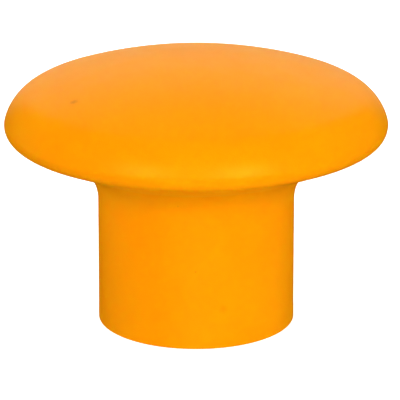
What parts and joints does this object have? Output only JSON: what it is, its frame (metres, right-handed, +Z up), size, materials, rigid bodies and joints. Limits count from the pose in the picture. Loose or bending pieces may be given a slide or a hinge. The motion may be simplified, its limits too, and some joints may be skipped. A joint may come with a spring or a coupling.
{
  "type": "knee kicker bumper pad",
  "caption": "Mushroom-shaped moulded bumper pad for a carpet knee kicker, with a steel armature sealed inside and a tapped hole in its flat base.",
  "frame": {"origin": "centre of the flat base, on the stem's axis", "axes": "+Z up the stem's axis, from the base to the crown; the kicker's stud leaves along -Z"},
  "size_m": [0.13, 0.13, 0.0912],
  "materials": {
    "moulded_skin": "satin",
    "soft_foam": "matte",
    "dense_foam": "matte",
    "black_rubber": "satin",
    "plate_steel": "satin",
    "tube_steel": "satin",
    "turned_steel": "satin",
    "zinc_plate": "satin"
  },
  "bodies": {
    "root": {"outer_skin": "moulded_skin", "foam_core": "soft_foam", "bolt_head_cushion": "dense_foam", "pressure_plate": "plate_steel", "plate_edge_guard": "black_rubber", "carriage_bolt": "zinc_plate", "tube_end_plug": "turned_steel", "spacer_tube": "tube_steel", "base_flange": "zinc_plate", "threaded_bush": "turned_steel"}
  },
  "joints": []
}
